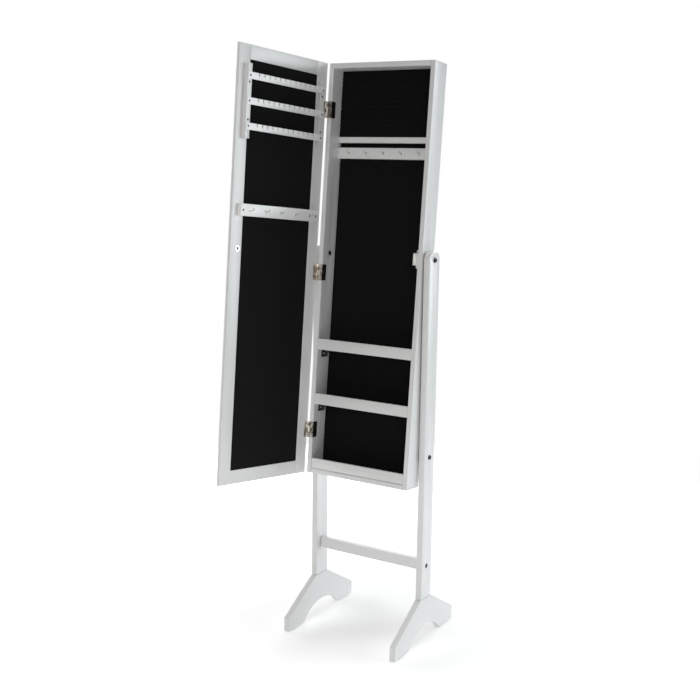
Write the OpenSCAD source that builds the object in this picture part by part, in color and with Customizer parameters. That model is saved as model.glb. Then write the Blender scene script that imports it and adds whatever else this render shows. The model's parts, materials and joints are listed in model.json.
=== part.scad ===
// Free-standing jewelry armoire: a shallow cabinet that leans back between two posts,
// with a mirror door hinged on its left that carries an earring rack and a hook rail.
// Millimetres. X to the right, Y to the back, Z up. The origin is on the floor,
// midway between the feet and in line with the posts.

/* [Pose] */
// Lean of the cabinet to the back, in degrees
lean = 5.3; // [4.5:0.1:17]
// Opening of the door, in degrees from closed
door_open = 100.4; // [0:0.1:124]

/* [Cabinet box] */
// Outside width
cab_w = 320; // [300:1:380]
// Outside height
cab_h = 1124; // [1100:1:1200]
// Depth from the front edges to the back edges
cab_d = 66; // [64:1:90]
// Thickness of the two sides
side_t = 13; // [12:0.5:16]
// Thickness of the top and the bottom
cap_t = 14; // [12:0.5:18]
// Thickness of the back board
back_t = 4; // [3:0.5:6]
// How far the back board sits in from the back edges
back_inset = 1; // [0.5:0.5:3]
// Thickness of the felt on the back board
felt_t = 1.5; // [1:0.5:3]

/* [Rails and shelves] */
// Depth of the two battens on the back board
batten_d = 14; // [10:1:18]
// Height of the ledge's underside under the ring pad
ledge_z = 918; // [880:1:930]
// Height of the ledge itself
ledge_h = 16; // [12:1:20]
// Underside of the necklace hook rail
necklace_z = 875.5; // [800:0.5:880]
// Height of a hook rail
hook_rail_h = 30; // [24:1:34]
// Underside of the upper shelf
upper_shelf_z = 349; // [300:1:420]
// Underside of the lower shelf
lower_shelf_z = 196; // [120:1:230]
// Height of the rail along the front of each shelf
shelf_rail_h = 30; // [20:1:40]
// Thickness of the shelf rails
shelf_rail_t = 9; // [6:0.5:12]
// Thickness of the shelf boards
shelf_t = 9; // [6:0.5:12]
// Height of the rail across the bottom
bottom_rail_h = 29; // [20:1:40]

/* [Door] */
// Thickness of the door frame
door_t = 9; // [9:0.5:15]
// Width of the two upright stiles
stile_w = 38.5; // [34:0.5:50]
// Height of the top and bottom rails of the door
door_rail_h = 36.5; // [30:0.5:50]
// Gap between the closed door and the cabinet
door_gap = 5; // [5:0.5:7]
// Depth and width of the lip that holds the mirror
lip_t = 2; // [1.5:0.5:3]
lip_w = 6; // [4:0.5:10]
// Thickness of the mirror glass
glass_t = 3; // [2:0.5:3]

/* [Hinges] */
// Height of a hinge
hinge_h = 44; // [38:1:60]
// Distance from the cabinet's middle to the outer hinges
hinge_pitch = 439; // [380:1:480]
// Radius of the knuckles
knuckle_r = 2.6; // [2.4:0.1:2.6]
// Radius of the hinge pin
pin_r = 1.2; // [1:0.1:1.4]
// Thickness of the leaves
leaf_t = 1.2; // [1:0.1:1.2]
// Width of the leaf on the door, from the pin
door_leaf_w = 14; // [14:1:20]
// Depth of the leaf on the cabinet's inner wall
wall_leaf_d = 18; // [14:1:22]

/* [Earring rack and hooks] */
// Height of the rack's middle bar
rack_z = 984; // [960:1:1000]
// Distance between the bars
bar_pitch = 62.5; // [50:0.5:66]
// Height of a bar
bar_h = 17; // [14:0.5:22]
// Thickness of a bar
bar_t = 3; // [3:0.5:5]
// Slots in each bar
slot_count = 12; // [6:1:14]
// Distance between the slots
slot_pitch = 18.5; // [14:0.5:18.5]
// Width and depth of a slot
slot_w = 3; // [1.5:0.5:3]
slot_d = 8; // [4:0.5:9]
// Height of the upright brackets
bracket_h = 185; // [170:1:200]
// Width of the upright brackets
bracket_w = 15; // [12:1:16]
// How far the brackets stand off the door
bracket_d = 12.5; // [10:0.5:14]
// Underside of the hook rail on the door
door_hook_z = 698; // [640:1:800]
// Thickness of the hook rail on the door
door_hook_t = 12.5; // [8:0.5:14]
// Hooks on each rail
hook_count = 5; // [3:1:5]
// Distance between the hooks
hook_pitch = 54; // [40:1:56]

/* [Stand] */
// Thickness of the posts and feet
post_t = 18; // [16:0.5:22]
// Depth of the posts, front to back
post_d = 57; // [50:1:64]
// Radius of the rounded post tops
post_r = 20; // [10:1:24]
// Height of the post tops
post_top = 1085.5; // [1080:0.5:1095]
// Side gap between the cabinet and a post
side_gap = 3; // [3:0.5:5]
// Half of a foot's length
foot_l = 170; // [150:1:200]
// Height of a foot under the post
foot_h = 126; // [110:1:140]
// Height of a foot's blunt ends
foot_end_h = 42; // [35:1:60]
// Half of the arch's width
arch_w = 95; // [70:1:110]
// Height of the arch
arch_h = 45; // [30:1:50]
// Height of the two crossbars
crossbar_h = 30; // [24:1:40]
// Thickness of the two crossbars
crossbar_t = 18; // [16:1:20]
// Height of the lower crossbar's middle
crossbar_z = 222; // [180:1:300]
// Height and set-back of the rear stretcher's middle
stretcher_z = 530; // [500:1:530]
stretcher_y = 3; // [3:0.5:6]

/* [Pivot] */
// Height of the pivot above the floor
pivot_z = 1064.5; // [1062:0.5:1066]
// Height of the pivot above the cabinet's underside
pivot_h = 615.5; // [610:0.5:620]
// Distance of the pivot behind the cabinet's front
pivot_y = 32; // [30:0.5:34]
// Radius of the pivot bolt
bolt_r = 3; // [3:0.5:4]

/* [Hidden] */
$fn = 48;
eps = 0.01;
run = 0.05;                          // radial clearance of a running fit
part_gap = 0.3;                      // space kept between pieces that move past each other
half_w = cab_w / 2;
in_w = half_w - side_t;              // half of the inside width
board_y = cab_d - back_inset - back_t;
felt_y = board_y - felt_t;           // front of the felt
batten_y = felt_y - batten_d;        // front of the battens and the ring pad
in_top = cab_h - cap_t;
post_x = half_w + side_gap;          // inner face of a post
out_x = post_x + post_t;
glide_t = 1.5;
glide_r = 7;
glide_y = 140;

// Door, measured from the hinge axis: x along the door, y = 0 on the axis
axis_x = -half_w - 1.5;
axis_y = -door_gap / 2;
door_u0 = 1.5;
door_u1 = door_u0 + cab_w;
door_in = door_gap / 2;              // inner face, towards the room from the axis
door_mid = (door_u0 + door_u1) / 2;
open_u0 = door_u0 + stile_w;
open_u1 = door_u1 - stile_w;
open_z1 = cab_h - door_rail_h;
panel_clear = 0.25;
door_felt_v = 0.3;
door_felt_t = 1.2;
glass_v = door_t - lip_t - glass_t;

hinge_z = [cab_h / 2 - hinge_pitch, cab_h / 2, cab_h / 2 + hinge_pitch];
knuckle_h = (hinge_h - 2 * part_gap) / 3;
leaf_start = 3;                      // a leaf clears the other leaf's knuckle from here
hinge_screw_z = 15;

bar_end = 23;                        // ends of the bars, from the door's hinge edge
bracket_u = [22, door_u1 + door_u0 - 22 - bracket_w];
rack_screw_z = 46.5;

catch_z = 615;                       // middle of the magnetic catch
catch_h = 32;
catch_w = 14;
catch_d = 18;
catch_flange_h = 47;
catch_flange_t = 5;
catch_front = -1;
pole_front = -3.1;
pole_t = 1.5;
pole_w = 9;
pole_h = 26;
pole_d = 12;
catch_screw_z = 19.8;
strike_u = 297;
strike_r = 8;
strike_t = 1.6;

shelf_bracket_l = 30;
shelf_bracket_h = 22;
shelf_bracket_t = 3;
shelf_bracket_web = 2;
shelf_bracket_y = 20;
shelf_screw = 12;                    // from the bracket's corner to its screws

head_r = 6;                          // socket heads of the furniture bolts
head_h = 4.5;
crossbar_bolt_z = crossbar_z - 3;
crossbar_sink = 5;                   // how deep each bolt's head sits in the post
stretcher_sink = 2.2;
pivot_sink = 1;
socket_r = 2.6;
insert_r = 5;
insert_l = 14;
bolt_l = 30;
foot_bolt_y = 15;
foot_bolt_top = 150;
foot_head_z = 60;
bush_r = 5;
bush_flange_r = 8;
bush_flange_t = 0.8;
washer_r = 9;
nut_r = 6;
nut_t = 2.5;
dowel_r = 3;
dowel_in = 15;
dowel_out = 9;
dowel_y = [16, 50];

white = [0.93, 0.93, 0.92];
black_felt = [0.06, 0.06, 0.06];
steel = [0.72, 0.72, 0.70];
nickel = [0.62, 0.60, 0.55];
black_plastic = [0.08, 0.08, 0.08];

// ---- places -------------------------------------------------------------------------

// Cabinet coordinates: y = 0 at the front edges, z = 0 at the underside
module in_cabinet() {
    translate([0, 0, pivot_z]) rotate([-lean, 0, 0]) translate([0, -pivot_y, -pivot_h]) children();
}

// Door coordinates: origin on the hinge axis, drawn closed and turned open
module in_door() {
    in_cabinet() translate([axis_x, axis_y, 0]) rotate([0, 0, -door_open]) children();
}

// A box in the door: u along the door, v outwards from its inner face, z up
module door_box(u0, u1, v0, v1, z0, z1) {
    translate([u0, -door_in - v1, z0]) cube([u1 - u0, v1 - v0, z1 - z0]);
}

// A box given by its two corners
module box(a, b) {
    translate(a) cube(b - a);
}

// The same thing on the left and on the right
module both_sides() {
    children();
    mirror([1, 0, 0]) children();
}

module x_cylinder(r, x0, x1) {
    translate([x0, 0, 0]) rotate([0, 90, 0]) cylinder(r = r, h = x1 - x0);
}

// ---- fasteners ----------------------------------------------------------------------

// Countersunk wood screw along -Z, its head's rim at z = proud
module wood_screw(len, r = 1.5, head = 3, proud = 0.2) {
    translate([0, 0, -len]) cylinder(r = r, h = len - 1);
    translate([0, 0, -1.8]) cylinder(r1 = r, r2 = head, h = 1.8);
    cylinder(r = head, h = proud);
}

// Pan-head wood screw along -Z, its head standing on z = 0
module pan_screw(len, r = 1.5, head = 3.2, head_t = 1.6) {
    translate([0, 0, -len]) cylinder(r = r, h = len);
    cylinder(r1 = head, r2 = head * 0.72, h = head_t);
}

// Furniture bolt along -X with its socket head towards +X, the head's outer face at x = 0
module socket_bolt(len, head_l = head_h) {
    difference() {
        union() {
            x_cylinder(head_r, -head_l, 0);
            x_cylinder(bolt_r, -head_l - len, -head_l);
        }
        translate([-head_l * 0.6, 0, 0]) rotate([0, 90, 0]) cylinder(r = socket_r, h = head_l, $fn = 6);
    }
}

// Small wire hook standing out towards -Y with a turned-up tip, its plate on y = 0
module wire_hook() {
    wire_r = 1.1;
    reach = 11;
    bend_r = 3;
    rise = 2.5;
    plate_r = 3;
    for (z = [-1.5, 1.5]) translate([0, 0, z]) rotate([90, 0, 0]) cylinder(r = plate_r, h = 1);
    box([-plate_r, -1, -1.5], [plate_r, 0, 1.5]);
    translate([0, -1 + eps, 0]) rotate([90, 0, 0]) cylinder(r = wire_r, h = reach - 1);
    translate([0, -reach + 2 * eps, bend_r]) rotate([0, -90, 0]) rotate([0, 0, 180])
        rotate_extrude(angle = 90) translate([bend_r, 0]) circle(r = wire_r, $fn = 24);
    translate([0, -reach - bend_r + 2 * eps, bend_r - eps]) cylinder(r = wire_r, h = rise);
    translate([0, -reach - bend_r + 2 * eps, bend_r + rise]) sphere(r = wire_r + 0.3, $fn = 24);
}

// ---- stand --------------------------------------------------------------------------

module post_shape() {
    difference() {
        union() {
            box([post_x, -post_d / 2, foot_h], [out_x, post_d / 2, post_top - post_r]);
            box([post_x, -post_d / 2 + post_r, foot_h], [out_x, post_d / 2 - post_r, post_top]);
            for (s = [-1, 1])
                translate([0, s * (post_d / 2 - post_r), post_top - post_r])
                    x_cylinder(post_r, post_x, out_x);
        }
        bolt_way(pivot_z, pivot_sink);
        bolt_way(crossbar_bolt_z, crossbar_sink);
        bolt_way(stretcher_z, stretcher_sink);
        for (y = [-foot_bolt_y, foot_bolt_y]) translate([post_x + post_t / 2, y, foot_h - eps]) {
            cylinder(r = insert_r, h = insert_l + eps);
            cylinder(r = bolt_r + 0.25, h = foot_bolt_top - foot_h + 2);
        }
    }
}

// Clear hole and sunk seat for a socket bolt that goes through a post
module bolt_way(z, sink) {
    translate([0, 0, z]) {
        x_cylinder(bolt_r + 0.25, post_x - 1, out_x);
        x_cylinder(head_r + 0.25, out_x - sink, out_x + 1);
    }
}

module foot_shape() {
    arch_r = (arch_w * arch_w + arch_h * arch_h) / (2 * arch_h);
    difference() {
        translate([post_x, 0, 0]) rotate([90, 0, 90]) linear_extrude(post_t) difference() {
            polygon([[-foot_l, glide_t], [foot_l, glide_t], [foot_l, foot_end_h],
                [post_d / 2, foot_h], [-post_d / 2, foot_h], [-foot_l, foot_end_h]]);
            translate([0, arch_h - arch_r]) circle(r = arch_r, $fn = 96);
        }
        for (y = [-foot_bolt_y, foot_bolt_y]) translate([post_x + post_t / 2, y, 0]) {
            cylinder(r = bolt_r + 0.25, h = foot_h + 1);
            cylinder(r = head_r + 0.5, h = foot_head_z);
        }
    }
}

module crossbar_shape(y, z, bolt_z) {
    difference() {
        box([-post_x, y - crossbar_t / 2, z - crossbar_h / 2], [post_x, y + crossbar_t / 2, z + crossbar_h / 2]);
        both_sides() translate([0, 0, bolt_z]) {
            x_cylinder(insert_r, post_x - insert_l, post_x + 1);
            x_cylinder(bolt_r + 0.25, post_x - bolt_l, post_x);
        }
    }
}

module left_foot() { color(white) mirror([1, 0, 0]) foot_shape(); }
module right_foot() { color(white) foot_shape(); }
module left_post() { color(white) mirror([1, 0, 0]) post_shape(); }
module right_post() { color(white) post_shape(); }
module lower_crossbar() { color(white) crossbar_shape(0, crossbar_z, crossbar_bolt_z); }
module rear_stretcher() { color(white) crossbar_shape(stretcher_y, stretcher_z, stretcher_z); }

module crossbar_bolts() {
    color(steel) both_sides() for (p = [[crossbar_bolt_z, crossbar_sink], [stretcher_z, stretcher_sink]]) {
        seat = out_x - p[1];
        translate([seat + head_h, 0, p[0]]) socket_bolt(seat - post_x + bolt_l - 2);
    }
}

module threaded_inserts() {
    color("goldenrod") both_sides() {
        for (z = [crossbar_bolt_z, stretcher_z]) translate([0, 0, z]) difference() {
            x_cylinder(insert_r, post_x - insert_l, post_x);
            x_cylinder(bolt_r, post_x - insert_l - 1, post_x + 1);
        }
        for (y = [-foot_bolt_y, foot_bolt_y]) translate([post_x + post_t / 2, y, foot_h]) difference() {
            cylinder(r = insert_r, h = insert_l);
            translate([0, 0, -1]) cylinder(r = bolt_r, h = insert_l + 2);
        }
    }
}

module foot_bolts() {
    color(steel) both_sides() for (y = [-foot_bolt_y, foot_bolt_y])
        translate([post_x + post_t / 2, y, foot_head_z - head_h]) rotate([0, 90, 0])
            socket_bolt(foot_bolt_top - foot_head_z);
}

module foot_glides() {
    color(black_plastic) both_sides() for (y = [-glide_y, glide_y])
        translate([post_x + post_t / 2, y, 0]) cylinder(r = glide_r, h = glide_t);
}

// ---- pivot --------------------------------------------------------------------------

module pivot_bolts() {
    seat = out_x - pivot_sink;
    tip = in_w - part_gap - nut_t - 0.4;
    color(steel) both_sides() translate([seat + head_h, 0, pivot_z]) socket_bolt(seat - tip);
}

module pivot_washers() {
    color(steel) both_sides() translate([0, 0, pivot_z]) difference() {
        x_cylinder(washer_r, half_w + bush_flange_t + part_gap, post_x);
        x_cylinder(bolt_r, half_w, post_x + 1);
    }
}

module pivot_nuts() {
    color(steel) both_sides() translate([0, 0, pivot_z]) difference() {
        translate([in_w - part_gap - nut_t, 0, 0]) rotate([0, 90, 0]) cylinder(r = nut_r, h = nut_t, $fn = 6);
        x_cylinder(bolt_r, in_w - nut_t - 2, in_w + 1);
    }
}

module pivot_bushes() {
    color("gainsboro") in_cabinet() both_sides() translate([0, pivot_y, pivot_h]) difference() {
        union() {
            x_cylinder(bush_r, in_w, half_w);
            x_cylinder(bush_flange_r, half_w, half_w + bush_flange_t);
        }
        x_cylinder(bolt_r + run, in_w - 1, half_w + 2);
    }
}

// ---- cabinet ------------------------------------------------------------------------

module dowel_places() {
    for (y = dowel_y, z = [cap_t / 2, cab_h - cap_t / 2]) translate([0, y, z]) children();
}

module side_panel() {
    difference() {
        box([in_w, 0, 0], [half_w, cab_d, cab_h]);
        translate([0, pivot_y, pivot_h]) x_cylinder(bush_r, in_w - 1, half_w + 1);
        dowel_places() x_cylinder(dowel_r, in_w - 1, in_w + dowel_out);
    }
}

module cap_panel(z) {
    difference() {
        box([-in_w, 0, z], [in_w, cab_d, z + cap_t]);
        both_sides() dowel_places() x_cylinder(dowel_r, in_w - dowel_in, in_w + 1);
    }
}

module cabinet_left_side() { color(white) in_cabinet() mirror([1, 0, 0]) side_panel(); }
module cabinet_right_side() { color(white) in_cabinet() side_panel(); }
module cabinet_top() { color(white) in_cabinet() cap_panel(in_top); }
module cabinet_bottom() { color(white) in_cabinet() cap_panel(0); }

module corner_dowels() {
    color("burlywood") in_cabinet() both_sides() dowel_places()
        x_cylinder(dowel_r, in_w - dowel_in, in_w + dowel_out);
}

module back_board() {
    color(white) in_cabinet() box([-in_w, board_y, cap_t], [in_w, board_y + back_t, in_top]);
}

module back_felt() {
    color(black_felt) in_cabinet() box([-in_w, felt_y, cap_t], [in_w, board_y, in_top]);
}

module ring_pad() {
    clear = 0.5;
    color(black_felt) in_cabinet()
        box([-in_w + clear, batten_y + clear, ledge_z + ledge_h + clear], [in_w - clear, felt_y, in_top - clear]);
}

module ring_ledge() {
    color(white) in_cabinet() box([-in_w, batten_y, ledge_z], [in_w, felt_y, ledge_z + ledge_h]);
}

module necklace_rail() {
    color(white) in_cabinet() box([-in_w, batten_y, necklace_z], [in_w, felt_y, necklace_z + hook_rail_h]);
}

module necklace_hooks() {
    color(steel) in_cabinet() for (i = [0 : hook_count - 1])
        translate([(i - (hook_count - 1) / 2) * hook_pitch, batten_y, necklace_z + hook_rail_h / 2]) wire_hook();
}

module shelf(z) {
    color(white) in_cabinet() box([-in_w, shelf_rail_t, z], [in_w, felt_y, z + shelf_t]);
}

module shelf_rail(z, h) {
    color(white) in_cabinet() box([-in_w, 0, z], [in_w, shelf_rail_t, z + h]);
}

module upper_shelf() { shelf(upper_shelf_z); }
module lower_shelf() { shelf(lower_shelf_z); }
module upper_shelf_rail() { shelf_rail(upper_shelf_z, shelf_rail_h); }
module lower_shelf_rail() { shelf_rail(lower_shelf_z, shelf_rail_h); }
module bottom_rail() { shelf_rail(cap_t, bottom_rail_h); }

// Corner bracket under a shelf against the right wall, its corner on the origin
module shelf_bracket() {
    l = shelf_bracket_l;
    h = shelf_bracket_h;
    t = shelf_bracket_t;
    box([-t, 0, -h], [0, l, 0]);
    box([-h, 0, -t], [0, l, 0]);
    translate([0, (l + shelf_bracket_web) / 2, 0]) rotate([90, 0, 0]) linear_extrude(shelf_bracket_web)
        polygon([[0, 0], [-h, 0], [-h, -t], [-t, -h], [0, -h]]);
}

module at_shelf_brackets() {
    in_cabinet() both_sides() for (z = [lower_shelf_z, upper_shelf_z])
        translate([in_w, shelf_bracket_y, z]) children();
}

module shelf_brackets() { color(black_plastic) at_shelf_brackets() shelf_bracket(); }

module shelf_bracket_screws() {
    color(steel) at_shelf_brackets() for (dy = [-7, 7]) translate([0, shelf_bracket_l / 2 + dy, 0]) {
        translate([-shelf_bracket_t, 0, -shelf_screw]) rotate([0, -90, 0]) pan_screw(11, 1.4, 2.8);
        translate([-shelf_screw, 0, -shelf_bracket_t]) rotate([180, 0, 0]) pan_screw(9, 1.4, 2.8);
    }
}

// ---- magnetic catch -----------------------------------------------------------------

module at_catch() {
    in_cabinet() translate([in_w, 0, catch_z]) children();
}

module catch_body() {
    pocket_x = -catch_w / 2 - pole_w / 2;
    color("whitesmoke") at_catch() difference() {
        union() {
            box([-catch_flange_t, 1, -catch_flange_h / 2], [0, catch_d - 1, catch_flange_h / 2]);
            box([-catch_w, catch_front, -catch_h / 2], [-eps, catch_d, catch_h / 2]);
        }
        box([pocket_x, catch_front - 1, -pole_h / 2], [pocket_x + pole_w, pole_d, pole_h / 2]);
    }
}

module catch_magnet() {
    x0 = -catch_w / 2 - pole_w / 2 + pole_t;
    color(steel) at_catch()
        box([x0, pole_front + 1, -pole_h / 2], [x0 + pole_w - 2 * pole_t, pole_d, pole_h / 2]);
}

module catch_pole_plates() {
    x0 = -catch_w / 2 - pole_w / 2;
    color(steel) at_catch() for (x = [x0, x0 + pole_w - pole_t])
        box([x, pole_front, -pole_h / 2], [x + pole_t, pole_d, pole_h / 2]);
}

module catch_screws() {
    color(steel) at_catch() for (z = [-catch_screw_z, catch_screw_z])
        translate([-catch_flange_t, catch_d / 2, z]) rotate([0, -90, 0]) pan_screw(14, 1.4, 2.8);
}

module strike_plate() {
    color(steel) in_door() translate([strike_u, -door_in, catch_z]) rotate([-90, 0, 0])
        difference() {
            cylinder(r = strike_r, h = strike_t);
            translate([0, 0, strike_t - 1.8]) cylinder(r1 = 1.6, r2 = 3.15, h = 1.8 + eps);
            translate([0, 0, -1]) cylinder(r = 1.65, h = strike_t + 2);
        }
}

module strike_screw() {
    color(steel) in_door() translate([strike_u, -door_in + strike_t, catch_z]) rotate([-90, 0, 0])
        wood_screw(8, proud = 0.02);
}

// ---- hinges -------------------------------------------------------------------------

// Knuckle of the hinge on the axis; band counts up from the bottom knuckle, 0 to 2
module knuckle(band, bore_r) {
    translate([0, 0, -hinge_h / 2 + band * (knuckle_h + part_gap)]) difference() {
        cylinder(r = knuckle_r, h = knuckle_h);
        translate([0, 0, -1]) cylinder(r = bore_r, h = knuckle_h + 2);
    }
}

// The strip that joins a knuckle to its leaf, on the side where the leaf lies
module knuckle_strip(band, bore_r) {
    z0 = -hinge_h / 2 + band * (knuckle_h + part_gap);
    difference() {
        box([0, door_in - leaf_t, z0], [leaf_start + eps, door_in - 0.05, z0 + knuckle_h]);
        translate([0, 0, z0 - 1]) cylinder(r = (knuckle_r + bore_r) / 2, h = knuckle_h + 2);
    }
}

module cabinet_leaf() {
    front_w = side_t + leaf_t + (-half_w - axis_x);
    for (band = [0, 2]) {
        knuckle(band, pin_r);
        knuckle_strip(band, pin_r);
    }
    box([leaf_start, door_in - leaf_t, -hinge_h / 2], [front_w, door_in, hinge_h / 2]);
    box([front_w - leaf_t, door_in - leaf_t, -hinge_h / 2], [front_w, door_in + wall_leaf_d, hinge_h / 2]);
}

module door_leaf() {
    mirror([0, 1, 0]) {
        knuckle(1, pin_r + run);
        knuckle_strip(1, pin_r + run);
        box([leaf_start, door_in - leaf_t, -hinge_h / 2], [door_leaf_w, door_in, hinge_h / 2]);
    }
}

module cabinet_hinge_leaves() {
    color(nickel) in_cabinet() for (z = hinge_z) translate([axis_x, axis_y, z]) cabinet_leaf();
}

module door_hinge_leaves() {
    color(nickel) in_door() for (z = hinge_z) translate([0, 0, z]) door_leaf();
}

module hinge_pins() {
    head_t = 1.2;
    color(nickel) in_cabinet() for (z = hinge_z) translate([axis_x, axis_y, z]) {
        translate([0, 0, -hinge_h / 2]) cylinder(r = pin_r, h = hinge_h);
        translate([0, 0, hinge_h / 2]) cylinder(r1 = 2, r2 = 1.4, h = head_t);
        translate([0, 0, -hinge_h / 2 - head_t]) cylinder(r1 = 1.4, r2 = 2, h = head_t);
    }
}

module cabinet_hinge_screws() {
    color(nickel) in_cabinet() for (z = hinge_z) {
        translate([-half_w + side_t / 2 + 1, -leaf_t, z]) rotate([90, 0, 0]) wood_screw(12, 1.2, 2.4);
        for (dz = [-hinge_screw_z, hinge_screw_z])
            translate([-in_w + leaf_t, wall_leaf_d / 2 + 1, z + dz]) rotate([0, 90, 0]) wood_screw(11, 1.2, 2.4);
    }
}

module door_hinge_screws() {
    color(nickel) in_door() for (z = hinge_z, dz = [-hinge_screw_z, hinge_screw_z])
        translate([door_leaf_w - 5.5, -door_in + leaf_t, z + dz]) rotate([-90, 0, 0]) wood_screw(8, 1.2, 2.4);
}

// ---- door ---------------------------------------------------------------------------

// A stile from the door's edge to the opening, with the mirror's lip at its outer face
module stile(edge, inner, lip) {
    door_box(min(edge, inner), max(edge, inner), 0, door_t, 0, cab_h);
    door_box(min(inner, lip) - eps, max(inner, lip) + eps, door_t - lip_t, door_t, door_rail_h, open_z1);
}

module door_rail(z0, z1, lip_z0, lip_z1) {
    door_box(open_u0, open_u1, 0, door_t, z0, z1);
    door_box(open_u0 + lip_w + eps, open_u1 - lip_w - eps, door_t - lip_t, door_t, lip_z0, lip_z1);
}

// A sheet that fills the door's opening between two depths
module door_sheet(v0, v1) {
    c = panel_clear;
    door_box(open_u0 + c, open_u1 - c, v0, v1, door_rail_h + c, open_z1 - c);
}

module hinge_stile() { color(white) in_door() stile(door_u0, open_u0, open_u0 + lip_w - eps); }
module free_stile() { color(white) in_door() stile(door_u1, open_u1, open_u1 - lip_w + eps); }

module door_bottom_rail() {
    color(white) in_door() door_rail(0, door_rail_h, door_rail_h - eps, door_rail_h + lip_w);
}

module door_top_rail() {
    color(white) in_door() door_rail(open_z1, cab_h, open_z1 - lip_w, open_z1 + eps);
}

module mirror_glass() { color("lightsteelblue") in_door() door_sheet(glass_v, glass_v + glass_t); }
module mirror_backing() { color("tan") in_door() door_sheet(door_felt_v + door_felt_t, glass_v); }
module door_felt() { color(black_felt) in_door() door_sheet(door_felt_v, door_felt_v + door_felt_t); }

// ---- earring rack and hook rail -----------------------------------------------------

module rack_bracket(u) {
    color(white) in_door() door_box(u, u + bracket_w, -bracket_d, 0, rack_z - bracket_h / 2, rack_z + bracket_h / 2);
}

module earring_bar(z) {
    color(white) in_door() difference() {
        door_box(bar_end, 2 * door_mid - bar_end, -bracket_d - bar_t, -bracket_d, z - bar_h / 2, z + bar_h / 2);
        for (i = [0 : slot_count - 1]) {
            u = door_mid + (i - (slot_count - 1) / 2) * slot_pitch;
            door_box(u - slot_w / 2, u + slot_w / 2, -bracket_d - bar_t - 1, -bracket_d + 1,
                z + bar_h / 2 - slot_d, z + bar_h);
        }
    }
}

module inner_rack_bracket() { rack_bracket(bracket_u[0]); }
module outer_rack_bracket() { rack_bracket(bracket_u[1]); }
module top_earring_bar() { earring_bar(rack_z + bar_pitch); }
module middle_earring_bar() { earring_bar(rack_z); }
module bottom_earring_bar() { earring_bar(rack_z - bar_pitch); }

// A screw into the door from the room side of something that stands v off its inner face
module screw_into_door(u, stand_off, z, len) {
    translate([u, -door_in + stand_off, z]) rotate([-90, 0, 0]) pan_screw(len, 1.4, 2.6, 1.2);
}

module earring_rack_screws() {
    color(steel) in_door() for (u = bracket_u) {
        for (i = [-1 : 1]) screw_into_door(u + bracket_w / 2, bracket_d + bar_t, rack_z + i * bar_pitch, 12);
        for (s = [-1, 1]) screw_into_door(u + bracket_w / 2, bracket_d, rack_z + s * rack_screw_z, bracket_d + 6);
    }
}

module door_hook_rail() {
    color(white) in_door()
        door_box(door_u0 + 19.5, door_u1 - 19.5, -door_hook_t, 0, door_hook_z, door_hook_z + hook_rail_h + 1);
}

module door_hooks() {
    color(steel) in_door() for (i = [0 : hook_count - 1])
        translate([door_mid + (i - (hook_count - 1) / 2) * hook_pitch, -door_in + door_hook_t,
            door_hook_z + hook_rail_h / 2]) mirror([0, 1, 0]) wire_hook();
}

module door_rail_screws() {
    color(steel) in_door() for (s = [-1, 1])
        screw_into_door(door_mid + s * 132, door_hook_t, door_hook_z + hook_rail_h / 2, door_hook_t + 6);
}

left_foot();
right_foot();
left_post();
right_post();
lower_crossbar();
rear_stretcher();
crossbar_bolts();
threaded_inserts();
foot_bolts();
foot_glides();
pivot_bolts();
pivot_washers();
pivot_nuts();
cabinet_left_side();
cabinet_right_side();
cabinet_top();
cabinet_bottom();
back_board();
back_felt();
ring_pad();
ring_ledge();
necklace_rail();
necklace_hooks();
upper_shelf();
lower_shelf();
upper_shelf_rail();
lower_shelf_rail();
bottom_rail();
shelf_brackets();
shelf_bracket_screws();
catch_body();
catch_magnet();
catch_pole_plates();
catch_screws();
cabinet_hinge_leaves();
hinge_pins();
cabinet_hinge_screws();
pivot_bushes();
corner_dowels();
hinge_stile();
free_stile();
door_top_rail();
door_bottom_rail();
mirror_glass();
mirror_backing();
door_felt();
inner_rack_bracket();
outer_rack_bracket();
top_earring_bar();
middle_earring_bar();
bottom_earring_bar();
earring_rack_screws();
door_hook_rail();
door_hooks();
door_rail_screws();
strike_plate();
strike_screw();
door_hinge_leaves();
door_hinge_screws();
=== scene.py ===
import bpy
import bmesh
import json
import math
from mathutils import Matrix, Vector, noise


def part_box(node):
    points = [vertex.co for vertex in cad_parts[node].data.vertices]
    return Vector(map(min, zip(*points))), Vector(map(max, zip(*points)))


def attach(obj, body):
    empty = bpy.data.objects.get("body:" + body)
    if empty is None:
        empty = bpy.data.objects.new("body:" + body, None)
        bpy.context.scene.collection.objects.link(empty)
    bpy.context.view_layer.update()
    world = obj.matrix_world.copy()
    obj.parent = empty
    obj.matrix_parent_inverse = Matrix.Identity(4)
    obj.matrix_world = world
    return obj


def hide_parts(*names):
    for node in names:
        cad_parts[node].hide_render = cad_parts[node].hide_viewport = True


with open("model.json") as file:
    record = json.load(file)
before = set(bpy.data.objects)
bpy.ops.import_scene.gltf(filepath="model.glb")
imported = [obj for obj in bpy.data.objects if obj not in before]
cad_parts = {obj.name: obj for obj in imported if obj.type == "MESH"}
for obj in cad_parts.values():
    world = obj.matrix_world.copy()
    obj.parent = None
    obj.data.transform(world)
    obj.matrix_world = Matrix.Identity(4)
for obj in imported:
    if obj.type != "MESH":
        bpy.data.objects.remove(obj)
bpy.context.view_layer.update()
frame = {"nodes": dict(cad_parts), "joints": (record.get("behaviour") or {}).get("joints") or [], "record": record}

MM = 0.001
scene = bpy.context.scene
scene.view_settings.view_transform = "Standard"
scene.view_settings.look = "None"


# ---- places: the leaning cabinet and the open door --------------------------------------

def joint(name):
    return next(j for j in frame["joints"] if j["name"] == name)


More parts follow.
